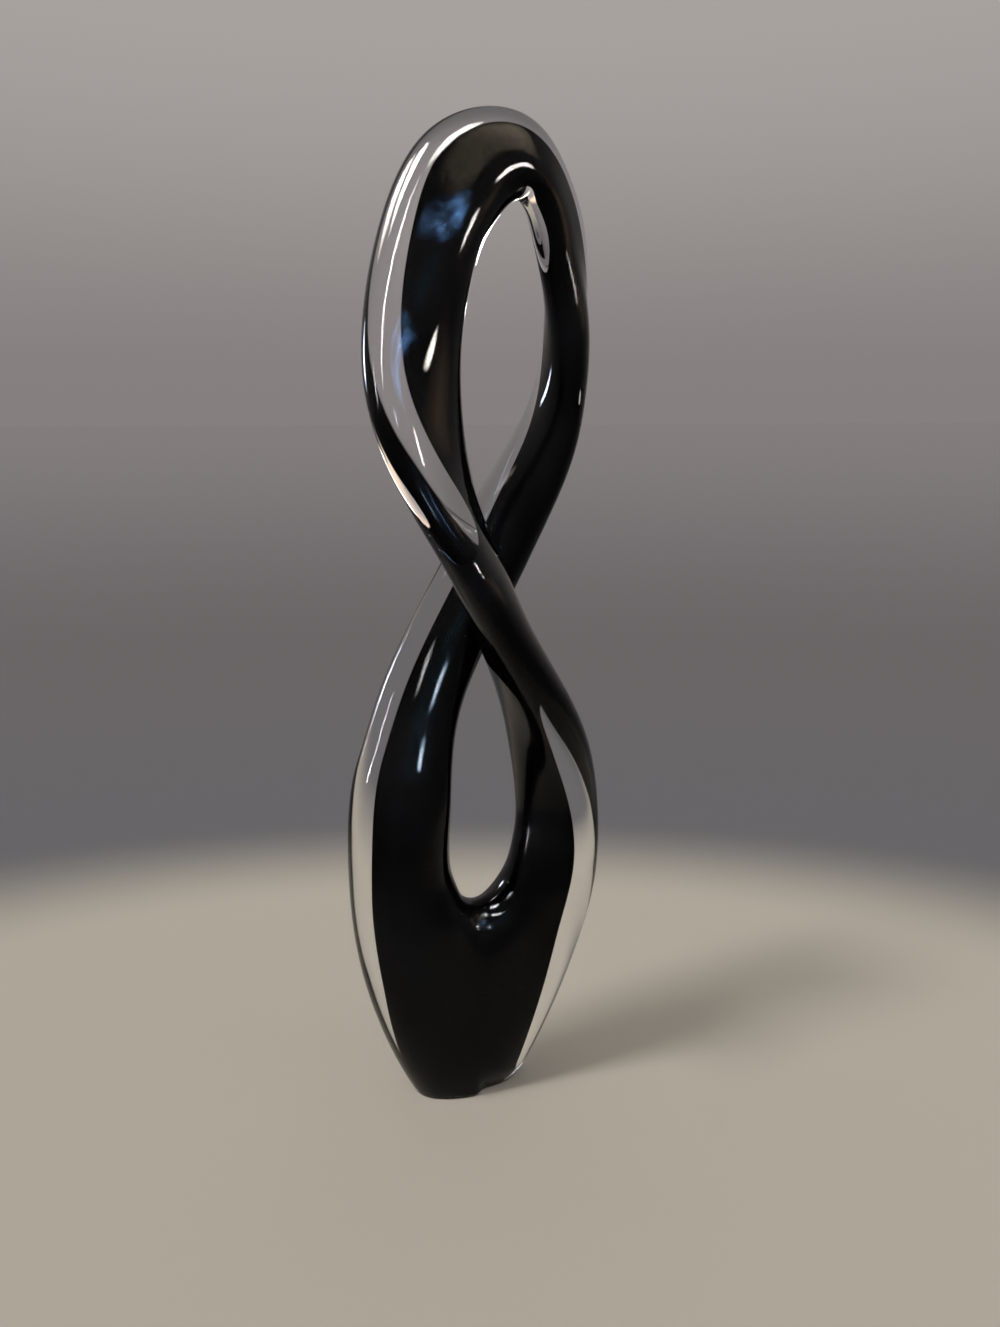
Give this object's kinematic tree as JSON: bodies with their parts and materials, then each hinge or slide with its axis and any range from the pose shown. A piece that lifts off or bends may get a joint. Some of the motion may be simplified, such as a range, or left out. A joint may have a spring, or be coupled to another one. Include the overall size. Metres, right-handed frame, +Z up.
{
  "type": "glass sculpture",
  "caption": "Tall twisted ring of cased glass that crosses over itself like an eight, an opaque black core inside a clear casing, standing on a ground flat foot.",
  "frame": {"origin": "on the ground under the middle of the foot, on the core's ground face", "axes": "+Z up along the height, +X to the right along the body's width, and the body's broad face looks along -Y"},
  "size_m": [0.1224, 0.0765, 0.45],
  "materials": {
    "clear_glass": "fire polished, clear and colourless",
    "black_glass": "opaque black, seen through the clear casing; ground and polished at the foot"
  },
  "bodies": {
    "root": {"clear_casing": "clear_glass", "black_core": "black_glass"}
  },
  "joints": []
}
